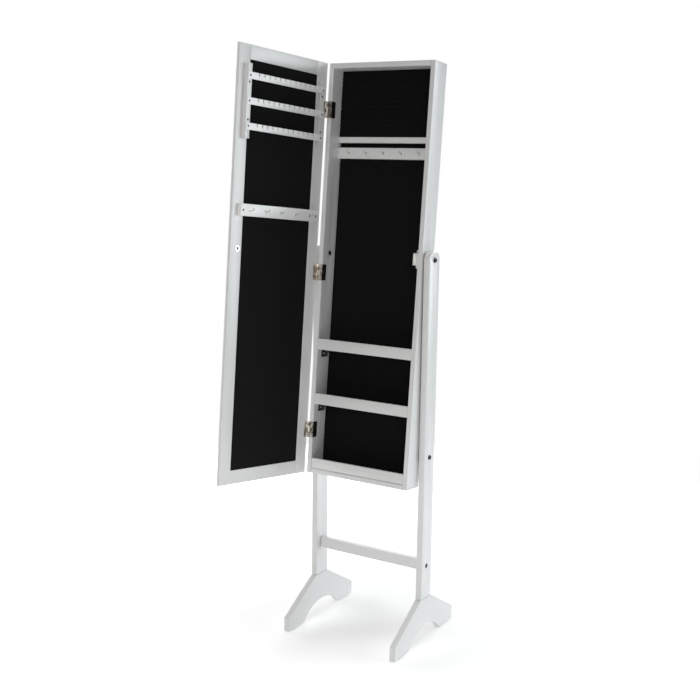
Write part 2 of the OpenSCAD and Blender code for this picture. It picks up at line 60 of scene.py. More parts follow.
# Cabinet coordinates have x from the middle, y back from the front edges, z up from the
# underside. Door coordinates have u from the hinge axis, y = 0 on the inner face with the
# mirror's side negative, and z up.
PIVOT_IN_CABINET = Vector((0, 32, 615.5)) * MM
DOOR_IN = 2.5 * MM
up_the_door = -Vector(joint("door_swing")["axis"])
LEAN = math.atan2(up_the_door.y, up_the_door.z)
DOOR_OPEN = math.radians(-joint("door_swing")["range_deg"][0])
CABINET = (Matrix.Translation(joint("cabinet_tilt")["pos_m"]) @ Matrix.Rotation(-LEAN, 4, "X")
           @ Matrix.Translation(-PIVOT_IN_CABINET))
hinge_axis = CABINET.inverted() @ Vector(joint("door_swing")["pos_m"])
DOOR = (CABINET @ Matrix.Translation((hinge_axis.x, hinge_axis.y, 0))
        @ Matrix.Rotation(-DOOR_OPEN, 4, "Z") @ Matrix.Translation((0, -DOOR_IN, 0)))


# ---- camera -----------------------------------------------------------------------------

def make_camera():
    data = bpy.data.cameras.new("camera")
    data.lens = 55.40
    data.sensor_width = 36
    data.shift_x = -0.0211
    data.shift_y = 0.0249
    data.clip_start = 0.1
    data.clip_end = 60
    camera = bpy.data.objects.new("camera", data)
    scene.collection.objects.link(camera)
    turn, tip, roll = math.radians(30.669), math.radians(-11.062), math.radians(0.876)
    camera.matrix_world = (
        Matrix.Translation((1.4662, -2.5189, 1.3278))
        @ Matrix.Rotation(turn, 4, "Z")
        @ Matrix.Rotation(math.pi / 2 + tip, 4, "X")
        @ Matrix.Rotation(roll, 4, "Z"))
    scene.camera = camera


make_camera()


# ---- node helpers -----------------------------------------------------------------------

class Nodes:
    """A material's node tree, with short calls to add and join nodes."""

    def __init__(self, name):
        self.material = bpy.data.materials.new(name)
        self.material.use_nodes = True
        self.tree = self.material.node_tree
        self.shader = self.tree.nodes["Principled BSDF"]
        self.place = self.tree.nodes.new("ShaderNodeTexCoord").outputs["Object"]

    def join(self, a, b):
        self.tree.links.new(a, b)

    def noise(self, scale, detail=3.0, stretch=(1, 1, 1), distortion=0.0):
        mapping = self.tree.nodes.new("ShaderNodeMapping")
        mapping.inputs["Scale"].default_value = stretch
        self.join(self.place, mapping.inputs["Vector"])
        noise = self.tree.nodes.new("ShaderNodeTexNoise")
        noise.inputs["Scale"].default_value = scale
        noise.inputs["Detail"].default_value = detail
        noise.inputs["Distortion"].default_value = distortion
        self.join(mapping.outputs["Vector"], noise.inputs["Vector"])
        return noise.outputs["Fac"]

    def ramp(self, fac, stops):
        ramp = self.tree.nodes.new("ShaderNodeValToRGB")
        elements = ramp.color_ramp.elements
        while len(elements) < len(stops):
            elements.new(0.5)
        for element, (at, colour) in zip(elements, stops):
            element.position = at
            element.color = (*colour, 1)
        self.join(fac, ramp.inputs["Fac"])
        return ramp.outputs["Color"]

    def spread(self, fac, low, high):
        spread = self.tree.nodes.new("ShaderNodeMapRange")
        spread.inputs["To Min"].default_value = low
        spread.inputs["To Max"].default_value = high
        self.join(fac, spread.inputs["Value"])
        return spread.outputs["Result"]

    def bump(self, height, distance, strength=1.0):
        bump = self.tree.nodes.new("ShaderNodeBump")
        bump.inputs["Distance"].default_value = distance
        bump.inputs["Strength"].default_value = strength
        self.join(height, bump.inputs["Height"])
        last = self.shader.inputs["Normal"]
        if last.is_linked:
            self.join(last.links[0].from_socket, bump.inputs["Normal"])
        self.join(bump.outputs["Normal"], last)

    def set(self, **values):
        for name, value in values.items():
            self.shader.inputs[name.replace("_", " ")].default_value = value
        return self


def grey(v, warm=0.0):
    return (v * (1 + warm), v, v * (1 - warm))


def satin_paint(name, tone, warm=0.0):
    """Sprayed satin paint on fibreboard: a faint orange peel and slightly uneven sheen."""
    n = Nodes(name)
    cloud = n.noise(5, 4)
    n.join(n.ramp(cloud, [(0.3, grey(tone * 0.965, warm)), (0.7, grey(tone, warm))]),
           n.shader.inputs["Base Color"])
    n.join(n.spread(n.noise(38, 5), 0.25, 0.33), n.shader.inputs["Roughness"])
    n.bump(n.noise(420, 2), 0.00006)
    n.bump(n.noise(24, 3), 0.00030)
    return n.material


def flocked_felt(name, tone):
    """Short black fibres: tiny clumps that catch a little light, with soft sheen."""
    n = Nodes(name)
    n.join(n.ramp(n.noise(900, 6), [(0.35, grey(tone * 0.45)), (0.75, grey(tone * 1.7))]),
           n.shader.inputs["Base Color"])
    n.bump(n.noise(1400, 4), 0.0006)
    n.bump(n.noise(60, 5, distortion=0.6), 0.0008, 0.6)
    n.set(Roughness=0.95, Specular_IOR_Level=0.08, Sheen_Weight=0.03, Sheen_Roughness=0.5)
    return n.material


def metal(name, colour, low, high, stretch=(1, 1, 1), worn=None, bump=0.00004):
    """Plated steel: brushed or worn by noise that is stretched along the brushing."""
    n = Nodes(name)
    dark = tuple(c * 0.72 for c in colour)
    fac = n.noise(300, 5, stretch)
    n.join(n.ramp(n.noise(90, 6) if worn else fac, [(0.38, worn or dark), (0.62, colour)]),
           n.shader.inputs["Base Color"])
    n.join(n.spread(fac, low, high), n.shader.inputs["Roughness"])
    n.bump(n.noise(500, 4, stretch), bump)
    n.set(Metallic=1.0)
    return n.material


def moulded(name, colour, roughness, gloss=0.4):
    """Moulded plastic with a fine spark-eroded grain."""
    n = Nodes(name)
    n.join(n.ramp(n.noise(40, 4), [(0.3, tuple(c * 0.88 for c in colour)), (0.7, colour)]),
           n.shader.inputs["Base Color"])
    n.join(n.spread(n.noise(200, 3), roughness - 0.06, roughness + 0.08),
           n.shader.inputs["Roughness"])
    n.bump(n.noise(1500, 3), 0.00008)
    n.set(Specular_IOR_Level=gloss)
    return n.material


def wood(name, light, dark):
    """Bare wood with grain along X."""
    n = Nodes(name)
    grain = n.noise(60, 8, (0.08, 1, 1), 0.8)
    n.join(n.ramp(grain, [(0.3, dark), (0.7, light)]), n.shader.inputs["Base Color"])
    n.bump(grain, 0.0002)
    n.set(Roughness=0.7)
    return n.material


def mirror_silver():
    """Silvered glass with the faintest unevenness in its sheen."""
    n = Nodes("mirror_silver")
    n.join(n.ramp(n.noise(6, 4), [(0.3, (0.86, 0.89, 0.89)), (0.7, (0.90, 0.92, 0.92))]),
           n.shader.inputs["Base Color"])
    n.join(n.spread(n.noise(30, 5), 0.008, 0.028), n.shader.inputs["Roughness"])
    n.set(Metallic=1.0, Coat_Weight=0.5, Coat_Roughness=0.02)
    return n.material


# The second tone is the white paint raised for parts that catch more light: painted light, not a different paint.
WHITE, LIT_WHITE = 0.74, 0.88
FINISH = {
    "white_paint": satin_paint("white_satin_paint", WHITE),
    "dark_steel": metal("dark_plated_steel", (0.032, 0.032, 0.035), 0.26, 0.42),
    "zinc_steel": metal("zinc_plated_steel", (0.84, 0.83, 0.80), 0.34, 0.50),
    "insert_brass": metal("insert_brass", (0.76, 0.58, 0.26), 0.25, 0.40),
    "hook_nickel": metal("hook_nickel", (0.62, 0.60, 0.56), 0.08, 0.20),
    "hinge_nickel": metal("aged_hinge_nickel", (0.86, 0.83, 0.77), 0.14, 0.30,
                          (0.2, 1, 1), worn=(0.24, 0.20, 0.16)),
    "black_plastic": moulded("black_plastic", (0.018, 0.018, 0.019), 0.45),
    "white_plastic": moulded("white_plastic", (0.72, 0.72, 0.71), 0.40),
    "nylon": moulded("nylon_bush", (0.80, 0.78, 0.72), 0.45),
    "beech": wood("beech_dowel", (0.66, 0.47, 0.28), (0.48, 0.31, 0.17)),
    "fibreboard": wood("fibreboard_back", (0.36, 0.25, 0.16), (0.24, 0.16, 0.10)),
    "black_felt": flocked_felt("black_flocked_felt", 0.006),
    "black_velvet": flocked_felt("black_velvet", 0.005),
    "mirror_silver": mirror_silver(),
}
SLOT_OF = {s["node"]: s["material_slot"] for s in frame["record"]["subparts"]}
# Painted light: the earring bars and hook rail keep the same white paint, in a lighter copy that stands in for the
# extra light falling on them.
LIT_COPY_PAINT = satin_paint("lit_copy_satin_paint", LIT_WHITE)
LIT_COPY_NODES = ["top_earring_bar", "middle_earring_bar", "bottom_earring_bar", "door_hook_rail"]


def finish_of(node):
    return LIT_COPY_PAINT if node in LIT_COPY_NODES else FINISH[SLOT_OF[node]]


def finish_mesh(mesh, node):
    mesh.materials.clear()
    mesh.materials.append(finish_of(node))


# ---- pieces -----------------------------------------------------------------------------

def body_of(node):
    return next(b for b, nodes in frame["record"]["behaviour"]["bodies"].items() if node in nodes)


def new_piece(name, mesh, nodes):
    """A finished mesh becomes a piece that stands for CAD nodes and rides on their body."""
    piece = bpy.data.objects.new(name, mesh)
    scene.collection.objects.link(piece)
    finish_mesh(mesh, nodes[0])
    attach(piece, body_of(nodes[0]))
    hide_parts(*nodes)
    return piece


def clean_bmesh(node):
    """A CAD node's triangles joined into one clean mesh."""
    bm = bmesh.new()
    bm.from_mesh(bpy.data.objects[node].data)
    bmesh.ops.remove_doubles(bm, verts=bm.verts, dist=0.00001)
    return bm


def ease_edges(piece, width, segments=2, angle=50):
    ease = piece.modifiers.new("eased_edges", "BEVEL")
    ease.width = width
    ease.segments = segments
    ease.limit_method = "ANGLE"
    ease.angle_limit = math.radians(angle)
    ease.harden_normals = True
    piece.data.shade_smooth()


def softened(node, width, paint_gap):
    """A node's own shape with its sharp edges eased, drawn in a hair so that joints show."""
    bm = clean_bmesh(node)
    bmesh.ops.dissolve_limit(bm, angle_limit=math.radians(1), verts=bm.verts, edges=bm.edges)
    bm.normal_update()
    drawn_in = [v.co - v.normal * v.calc_shell_factor() * paint_gap for v in bm.verts]
    for vert, co in zip(bm.verts, drawn_in):
        vert.co = co
    mesh = bpy.data.meshes.new("soft_" + node)
    bm.to_mesh(mesh)
    bm.free()
    ease_edges(new_piece("soft_" + node, mesh, [node]), width, 3)


# Millimetres that each piece's edges are eased by, and that it is drawn in by
EASED = [
    (1.3, 0.60, ["left_post", "right_post", "left_foot", "right_foot"]),
    (0.6, 0.10, ["lower_crossbar", "rear_stretcher"]),
    (0.6, 0.60, ["cabinet_bottom", "bottom_rail"]),
    (0.6, 0.25, ["cabinet_left_side", "cabinet_right_side", "cabinet_top",
                 "upper_shelf_rail", "lower_shelf_rail", "ring_ledge",
                 "necklace_rail", "upper_shelf", "lower_shelf"]),
    (0.5, 0.08, ["hinge_stile", "free_stile", "door_top_rail", "door_bottom_rail",
                 "inner_rack_bracket", "outer_rack_bracket", "door_hook_rail"]),
    (0.5, 0.0, ["catch_body", "shelf_brackets", "crossbar_bolts", "pivot_bolts",
                "foot_bolts", "foot_glides"]),
    (0.3, 0.0, ["top_earring_bar", "middle_earring_bar", "bottom_earring_bar",
                "strike_plate", "pivot_nuts", "pivot_washers", "catch_pole_plates"]),
]
for width, paint_gap, nodes in EASED:
    for node in nodes:
        softened(node, width * MM, paint_gap * MM)


# ---- where the CAD's small solids are ---------------------------------------------------

def solids(node, place):
    """The corners of each separate solid of a node, in a board's coordinates, in a fixed order."""
    bm = clean_bmesh(node)
    to_board = place.inverted()
    left = set(bm.verts)
    found = []
    for vert in bm.verts:
        if vert not in left:
            continue
        left.discard(vert)
        island = [vert]
        for member in island:
            for edge in member.link_edges:
                other = edge.other_vert(member)
                if other in left:
                    left.discard(other)
                    island.append(other)
        found.append([to_board @ v.co for v in island])
    bm.free()
    return sorted(found, key=lambda corners: [round(c, 4) for c in box_of(corners)[0]])


def box_of(corners):
    low = Vector([min(c[i] for c in corners) for i in range(3)])
    high = Vector([max(c[i] for c in corners) for i in range(3)])
    return low, high


def turned(out, up):
    """The turn that takes Z to the way out of a surface and Y to the way up."""
    out, up = Vector(out), Vector(up)
    return Matrix((up.cross(out), up, out)).transposed().to_4x4()


SCREW_TURN, FIRST_TURN = 37, 12  # degrees that each screw's cross stands round from the last


def screw_seats(node, place):
    """For each screw the place of its head's top, with Z out of it, and the screw's box."""
    seats = []
    for count, corners in enumerate(solids(node, place)):
        low, high = box_of(corners)
        middle, size = (low + high) / 2, high - low
        axis = max(range(3), key=lambda i: size[i])

        def width_at(end):
            return max((c - middle).length_squared - (c - middle)[axis] ** 2
                       for c in corners if abs(c[axis] - end) < 0.0001)

        ahead = 1 if width_at(high[axis]) > width_at(low[axis]) else -1
        head = middle.copy()
        head[axis] += ahead * size[axis] / 2
        out, up = Vector((0, 0, 0)), Vector((0, 0, 0))
        out[axis] = ahead
        up[(axis + 1) % 3] = 1
        spin = Matrix.Rotation(math.radians(SCREW_TURN * count + FIRST_TURN), 4, "Z")
        seats.append(place @ Matrix.Translation(head) @ turned(out, up) @ spin)
    across = sorted(size)[0]
    return seats, across / 2, max(size)


# ---- shapes grown by geometry nodes -----------------------------------------------------

class Growth:
    """A geometry node tree with named sizes that places a shape on every seat it is given."""

    def __init__(self, name, **sizes):
        self.tree = bpy.data.node_groups.new(name, "GeometryNodeTree")
        face = self.tree.interface
        face.new_socket("Geometry", in_out="INPUT", socket_type="NodeSocketGeometry")
        for label, value in sizes.items():
            socket = face.new_socket(label, in_out="INPUT", socket_type="NodeSocketFloat")
            socket.default_value = value
        face.new_socket("Finish", in_out="INPUT", socket_type="NodeSocketMaterial")
        face.new_socket("Geometry", in_out="OUTPUT", socket_type="NodeSocketGeometry")
        self.given = self.tree.nodes.new("NodeGroupInput").outputs

    def add(self, kind, out=0, setting=None, **inputs):
        """A node; each input is a value or another node's output. Returns one output."""
        node = self.tree.nodes.new(kind)
        for name, value in (setting or {}).items():
            setattr(node, name, value)
        for name, value in inputs.items():
            socket = node.inputs[name.replace("_", " ")]
            for item in (value if isinstance(value, list) else [value]):
                if isinstance(item, bpy.types.NodeSocket):
                    self.tree.links.new(item, socket)
                else:
                    socket.default_value = item
        return node.outputs[out]

    def reckon(self, kind, a, b):
        """Two values joined by a math operation, such as ADD or MULTIPLY."""
        node = self.tree.nodes.new("ShaderNodeMath")
        node.operation = kind
        for socket, value in zip(node.inputs, (a, b)):
            if isinstance(value, bpy.types.NodeSocket):
                self.tree.links.new(value, socket)
            else:
                socket.default_value = value
        return node.outputs[0]

    def vector(self, x=0.0, y=0.0, z=0.0):
        return self.add("ShaderNodeCombineXYZ", X=x, Y=y, Z=z)

    def moved(self, shape, **how):
        return self.add("GeometryNodeTransform", Geometry=shape, **how)

    def finish(self, shape):
        """Puts the shape on every seat, makes it real and gives it its material."""
        turn = self.add("GeometryNodeInputNamedAttribute", setting={"data_type": "QUATERNION"},
                        Name="turn")
        placed = self.add("GeometryNodeInstanceOnPoints", Points=self.given["Geometry"],
                          Instance=shape, Rotation=turn)
        real = self.add("GeometryNodeRealizeInstances", Geometry=placed)
        smooth = self.add("GeometryNodeSetShadeSmooth", Geometry=real)
        done = self.add("GeometryNodeSetMaterial", Geometry=smooth,
                        Material=self.given["Finish"])
        output = self.tree.nodes.new("NodeGroupOutput")
        self.tree.links.new(done, output.inputs[0])
        return self


def grow(name, growth, seats, nodes, crease=40, **sizes):
    """Runs a growth on its seats and keeps the result as a plain mesh piece."""
    points = bpy.data.meshes.new(name)
    points.from_pydata([seat.translation for seat in seats], [], [])
    turn = points.attributes.new("turn", "QUATERNION", "POINT")
    for item, seat in zip(turn.data, seats):
        item.value = seat.to_quaternion()
    holder = bpy.data.objects.new(name + "_seats", points)
    scene.collection.objects.link(holder)
    modifier = holder.modifiers.new(name, "NODES")
    modifier.node_group = growth.tree
    values = dict(sizes, Finish=finish_of(nodes[0]))
    for item in growth.tree.interface.items_tree:
        if item.in_out == "INPUT" and item.name in values:
            modifier[item.identifier] = values[item.name]
    graph = bpy.context.evaluated_depsgraph_get()
    mesh = bpy.data.meshes.new_from_object(holder.evaluated_get(graph), depsgraph=graph)
    bpy.data.objects.remove(holder)
    mesh.set_sharp_from_angle(angle=math.radians(crease))
    return new_piece(name, mesh, nodes)


def screw_growth(domed):
    """A screw along -Z with a cross recess in its head, whose top is on the seat."""
    g = Growth("domed_screw" if domed else "flat_screw",
               Radius=0.0026, Head=0.0014, Length=0.012, Shank=0.0014)
    radius, head, length = g.given["Radius"], g.given["Head"], g.given["Length"]
    if domed:
        ball = g.add("GeometryNodeMeshUVSphere", Segments=24, Rings=12, Radius=1.0)
        cap = g.moved(ball, Scale=g.vector(radius, radius, head),
                      Translation=g.vector(z=g.reckon("MULTIPLY", head, -1)))
    else:
        disc = g.add("GeometryNodeMeshCone", Vertices=24, Radius_Top=radius,
                     Radius_Bottom=g.given["Shank"], Depth=head)
        cap = g.moved(disc, Translation=g.vector(z=g.reckon("MULTIPLY", head, -1)))
    arm = g.reckon("MULTIPLY", radius, 1.25)
    slit = g.reckon("MULTIPLY", radius, 0.26)
    depth = g.reckon("MULTIPLY", head, 1.1)
    cross = [g.add("GeometryNodeMeshCube", Size=g.vector(*size))
             for size in ((arm, slit, depth), (slit, arm, depth))]
    cut = g.add("GeometryNodeMeshBoolean", setting={"operation": "DIFFERENCE"},
                **{"Mesh_1": cap, "Mesh_2": cross})
    shaft = g.reckon("SUBTRACT", length, head)
    rod = g.add("GeometryNodeMeshCylinder", Vertices=16, Radius=g.given["Shank"], Depth=shaft)
    middle = g.reckon("MULTIPLY", g.reckon("ADD", length, head), -0.5)
    rod = g.moved(rod, Translation=g.vector(z=middle))
    return g.finish(g.add("GeometryNodeJoinGeometry", Geometry=[cut, rod]))


HOOK_PLATE, HOOK_TIP = 3 * MM, 1.4 * MM
PLATE_OVAL = 1.5  # how much taller the hook's plate is than it is wide


def hook_growth():
    """A wire hook: an oval plate on the seat, a wire straight out, a bend and a round tip."""
    g = Growth("wire_hook", Wire=0.0011, Reach=0.014, Rise=0.0055, Tip=0.0014, Plate=0.003)
    reach, rise, plate = g.given["Reach"], g.given["Rise"], g.given["Plate"]
    path = g.add("GeometryNodeCurvePrimitiveBezierSegment", Resolution=16,
                 Start=(0, 0, 0), End=g.vector(0, rise, reach),
                 Start_Handle=g.vector(0, 0, g.reckon("MULTIPLY", reach, 0.95)),
                 End_Handle=g.vector(0, g.reckon("MULTIPLY", rise, 0.15), reach))
    ring = g.add("GeometryNodeCurvePrimitiveCircle", Resolution=14, Radius=g.given["Wire"])
    wire = g.add("GeometryNodeCurveToMesh", Curve=path, Profile_Curve=ring, Fill_Caps=True)
    ball = g.add("GeometryNodeMeshUVSphere", Segments=16, Rings=10, Radius=g.given["Tip"])
    ball = g.moved(ball, Translation=g.vector(0, rise, reach))
    oval = g.add("GeometryNodeMeshUVSphere", Segments=24, Rings=12, Radius=plate)
    oval = g.moved(oval, Scale=(1, PLATE_OVAL, 0.36))
    return g.finish(g.add("GeometryNodeJoinGeometry", Geometry=[wire, ball, oval]))


DOMED_SCREW, FLAT_SCREW, WIRE_HOOK = screw_growth(True), screw_growth(False), hook_growth()
DOMED_HEAD, FLAT_HEAD = 1.4 * MM, 1.6 * MM
SCREWS = [
    ("shelf_bracket_screws", CABINET, DOMED_SCREW, DOMED_HEAD),
    ("catch_screws", CABINET, DOMED_SCREW, DOMED_HEAD),
    ("earring_rack_screws", DOOR, DOMED_SCREW, DOMED_HEAD),
    ("door_rail_screws", DOOR, DOMED_SCREW, DOMED_HEAD),
    ("cabinet_hinge_screws", CABINET, FLAT_SCREW, FLAT_HEAD),
    ("door_hinge_screws", DOOR, FLAT_SCREW, FLAT_HEAD),
    ("strike_screw", DOOR, FLAT_SCREW, FLAT_HEAD),
]


def make_screws():
    for node, place, growth, head in SCREWS:
        seats, radius, length = screw_seats(node, place)
        grow("cross_" + node, growth, seats, [node], Radius=radius, Head=head, Length=length,
             Shank=radius * 0.5)


def make_hooks(node, place, out):
    """Hooks whose plates stand on a rail; out is 1 for the door's room side, -1 for the cabinet."""
    plate_rise = PLATE_OVAL * HOOK_PLATE
    seats = []
    for corners in solids(node, place):
        low, high = box_of(corners)
        foot = Vector(((low.x + high.x) / 2, high.y if out < 0 else low.y, low.z + plate_rise))
        seats.append(place @ Matrix.Translation(foot) @ turned((0, out, 0), (0, 0, 1)))
        reach = high.y - low.y
    rise = high.z - low.z - plate_rise - HOOK_TIP
    grow("wire_" + node, WIRE_HOOK, seats, [node], Reach=reach - HOOK_TIP, Rise=rise,
         Tip=HOOK_TIP, Plate=HOOK_PLATE)


make_screws()
make_hooks("necklace_hooks", CABINET, -1)
make_hooks("door_hooks", DOOR, 1)


# ---- hinges -----------------------------------------------------------------------------

LEAF = 1.2 * MM
KNUCKLE = 2.6 * MM
BARREL_GAP = 0.3 * MM
LEAF_START = 3 * MM


def rounded_tab(length, height, radius, steps=6):
    """Outline of a leaf from x = 0, its two far corners rounded, centred on y = 0."""
    points = [(0, -height / 2)]
    for centre_y, start in ((radius - height / 2, -90), (height / 2 - radius, 0)):
        for step in range(steps + 1):
            a = math.radians(start + 90 * step / steps)
            points.append((length - radius + radius * math.cos(a),
                           centre_y + radius * math.sin(a)))
    return points + [(0, height / 2)]


def add_slab(bm, outline, thickness, place):
    """An outline in the XY plane, thickened along Z and put in its place."""
    bottom = [bm.verts.new(place @ Vector((x, y, 0))) for x, y in outline]
    face = bm.faces.new(bottom)
    grown = bmesh.ops.extrude_face_region(bm, geom=[face])["geom"]
    lift = place.to_3x3() @ Vector((0, 0, thickness))
    bmesh.ops.translate(bm, verts=[v for v in grown if isinstance(v, bmesh.types.BMVert)],
                        vec=lift)


def add_barrel(bm, radius, z0, z1, place, segments=28):
    """A knuckle or pin along Z on a hinge axis."""
    middle = place @ Matrix.Translation((0, 0, (z0 + z1) / 2))
    bmesh.ops.create_cone(bm, cap_ends=True, segments=segments, radius1=radius, radius2=radius,
                          depth=z1 - z0, matrix=middle)


def finished_hinges(bm, name, nodes):
    bmesh.ops.recalc_face_normals(bm, faces=bm.faces)
    mesh = bpy.data.meshes.new(name)
    bm.to_mesh(mesh)
    bm.free()
    ease_edges(new_piece(name, mesh, nodes), 0.22 * MM)


def knuckle_band(height, band):
    each = (height - 2 * BARREL_GAP) / 3
    low = -height / 2 + band * (each + BARREL_GAP)
    return low, low + each


def make_cabinet_hinges():
    """Front strips, wall leaves, outer knuckles and pins, folded round the left side's edge."""
    bm = bmesh.new()
    for corners in solids("cabinet_hinge_leaves", CABINET):
        low, high = box_of(corners)
        height = high.z - low.z
        axis = CABINET @ Matrix.Translation((hinge_axis.x, hinge_axis.y, (low.z + high.z) / 2))
        front = axis @ Matrix.Translation((LEAF_START, DOOR_IN, 0)) @ turned((0, -1, 0), (0, 0, 1))
        width = high.x - hinge_axis.x - LEAF_START
        flat = Matrix.Rotation(math.pi, 4, "Y")
        strip = [(x, y) for x, y in ((0, -height / 2), (width, -height / 2),
                                     (width, height / 2), (0, height / 2))]
        add_slab(bm, [(-x, y) for x, y in strip], LEAF,
                 front @ flat @ Matrix.Translation((0, 0, -LEAF)))
        fold = CABINET @ Matrix.Translation((high.x - LEAF, hinge_axis.y + DOOR_IN - LEAF,
                                             (low.z + high.z) / 2))
        depth = high.y - (hinge_axis.y + DOOR_IN - LEAF)
        wall = fold @ Matrix(((0, 0, 1, 0), (1, 0, 0, 0), (0, 1, 0, 0), (0, 0, 0, 1)))
        add_slab(bm, rounded_tab(depth, height, 4 * MM), LEAF, wall)
        for band in (0, 2):
            z0, z1 = knuckle_band(height, band)
            add_barrel(bm, KNUCKLE, z0, z1, axis)
            add_slab(bm, [(0, z0), (LEAF_START, z0), (LEAF_START, z1), (0, z1)], LEAF,
                     axis @ Matrix.Translation((0, DOOR_IN, 0)) @ Matrix.Rotation(math.pi / 2, 4, "X"))
    finished_hinges(bm, "folded_hinge_leaves", ["cabinet_hinge_leaves"])


def make_door_hinges():
    bm = bmesh.new()
    for corners in solids("door_hinge_leaves", DOOR):
        low, high = box_of(corners)
        height = high.z - low.z
        axis = DOOR @ Matrix.Translation((0, DOOR_IN, (low.z + high.z) / 2))
        flat = axis @ Matrix.Translation((0, LEAF - DOOR_IN, 0)) @ Matrix.Rotation(math.pi / 2, 4, "X")
        add_slab(bm, rounded_tab(high.x - LEAF_START, height, 3 * MM), LEAF,
                 flat @ Matrix.Translation((LEAF_START, 0, 0)))
        z0, z1 = knuckle_band(height, 1)
        add_barrel(bm, KNUCKLE, z0, z1, axis)
        add_slab(bm, [(0, z0), (LEAF_START, z0), (LEAF_START, z1), (0, z1)], LEAF, flat)
    finished_hinges(bm, "rounded_hinge_leaves", ["door_hinge_leaves"])


make_cabinet_hinges()
make_door_hinges()


# ---- painted shade in the joints of the stand -------------------------------------------

def paint_shade_in_post_joints():
    """A near-black slab in the gap under each post, kept back from the post's front face: painted shade standing
    in for the joint's shadow, not the board end's own colour.
    """
    inset, front_inset, half = 0.9 * MM, 3.5 * MM, 0.55 * MM
    bm = bmesh.new()
    for node in ("left_post", "right_post"):
        low, high = (Vector(corner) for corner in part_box(node))
        outline = [(low.x + inset, low.y + front_inset), (high.x - inset, low.y + front_inset),
                   (high.x - inset, high.y - inset), (low.x + inset, high.y - inset)]
        add_slab(bm, outline, 2 * half, Matrix.Translation((0, 0, low.z - half)))
    bmesh.ops.recalc_face_normals(bm, faces=bm.faces)
    mesh = bpy.data.meshes.new("post_joint_shade_slabs")
    bm.to_mesh(mesh)
    bm.free()
    # Painted shade: a near-black colour for the shadow in the joint, laid on a board-end grain.
    mesh.materials.append(wood("painted_joint_shade", (0.030, 0.030, 0.030), (0.018, 0.018, 0.018)))
    piece = bpy.data.objects.new("post_joint_shade_slabs", mesh)
    scene.collection.objects.link(piece)
    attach(piece, body_of("left_post"))
    ease_edges(piece, 0.2 * MM)


paint_shade_in_post_joints()


# ---- ring pad, mirror and felt ----------------------------------------------------------

def make_ring_pad():
    """Velvet over foam rolls that hold rings in the grooves between them."""
    low, high = box_of([c for corners in solids("ring_pad", CABINET) for c in corners])
    rolls = 14
    groove = 2.0 * MM
    round_steps = 8
    length_steps = 60
    tuck_steps = 2.5
    pitch = (high.z - low.z) / rolls
    profile = [(high.y, low.z)]
    for roll in range(rolls):
        for step in range(round_steps):
            t = step / round_steps
            bulge = math.sin(math.pi * t) ** 0.6
            profile.append((low.y + groove * (1 - bulge), low.z + pitch * (roll + t)))
    profile += [(low.y + groove, high.z), (high.y, high.z)]
    bm = bmesh.new()
    rows = []
    for step in range(length_steps + 1):
        t = step / length_steps
        x = low.x + (high.x - low.x) * t
        tuck = 1.5 * MM * max(0.0, 1 - min(t, 1 - t) * length_steps / tuck_steps) ** 2
        sway = 0.35 * MM
        row = []
        for count, (y, z) in enumerate(profile):
            roll = count // round_steps
            soft = sway * (1 + math.sin(23 * t + 2.4 * roll)) if y < high.y else 0
            row.append(bm.verts.new(CABINET @ Vector((x, min(y + tuck + soft, high.y), z))))
        rows.append(row)
    for a, b in zip(rows, rows[1:]):
        for i in range(len(profile)):
            j = (i + 1) % len(profile)
            bm.faces.new((a[i], a[j], b[j], b[i]))
    bm.faces.new(rows[0])
    bm.faces.new(rows[-1])
    bmesh.ops.recalc_face_normals(bm, faces=bm.faces)
    mesh = bpy.data.meshes.new("ring_rolls")
    bm.to_mesh(mesh)
    bm.free()
    mesh.shade_smooth()
    mesh.set_sharp_from_angle(angle=math.radians(60))
    new_piece("ring_rolls", mesh, ["ring_pad"])


def make_mirror():
    """Glass with a ground bevel round its outer face."""
    low, high = box_of([c for corners in solids("mirror_glass", DOOR) for c in corners])
    bevel, sink = 18 * MM, 1.3 * MM
    bm = bmesh.new()

    def ring(y, inset):
        corners = ((low.x + inset, low.z + inset), (high.x - inset, low.z + inset),
                   (high.x - inset, high.z - inset), (low.x + inset, high.z - inset))
        return [bm.verts.new(DOOR @ Vector((x, y, z))) for x, z in corners]

    rings = [ring(high.y, 0), ring(low.y + sink, 0), ring(low.y, bevel)]
    for a, b in zip(rings, rings[1:]):
        for i in range(4):
            bm.faces.new((a[i], a[(i + 1) % 4], b[(i + 1) % 4], b[i]))
    bm.faces.new(rings[0])
    bm.faces.new(rings[-1])
    bmesh.ops.recalc_face_normals(bm, faces=bm.faces)
    mesh = bpy.data.meshes.new("bevelled_mirror")
    bm.to_mesh(mesh)
    bm.free()
    new_piece("bevelled_mirror", mesh, ["mirror_glass"])


FELT_STEP = 12 * MM
FELT_ROUNDING, FELT_DIP = 0.45 * MM, 0.12 * MM
DIPS_PER_METRE = 28


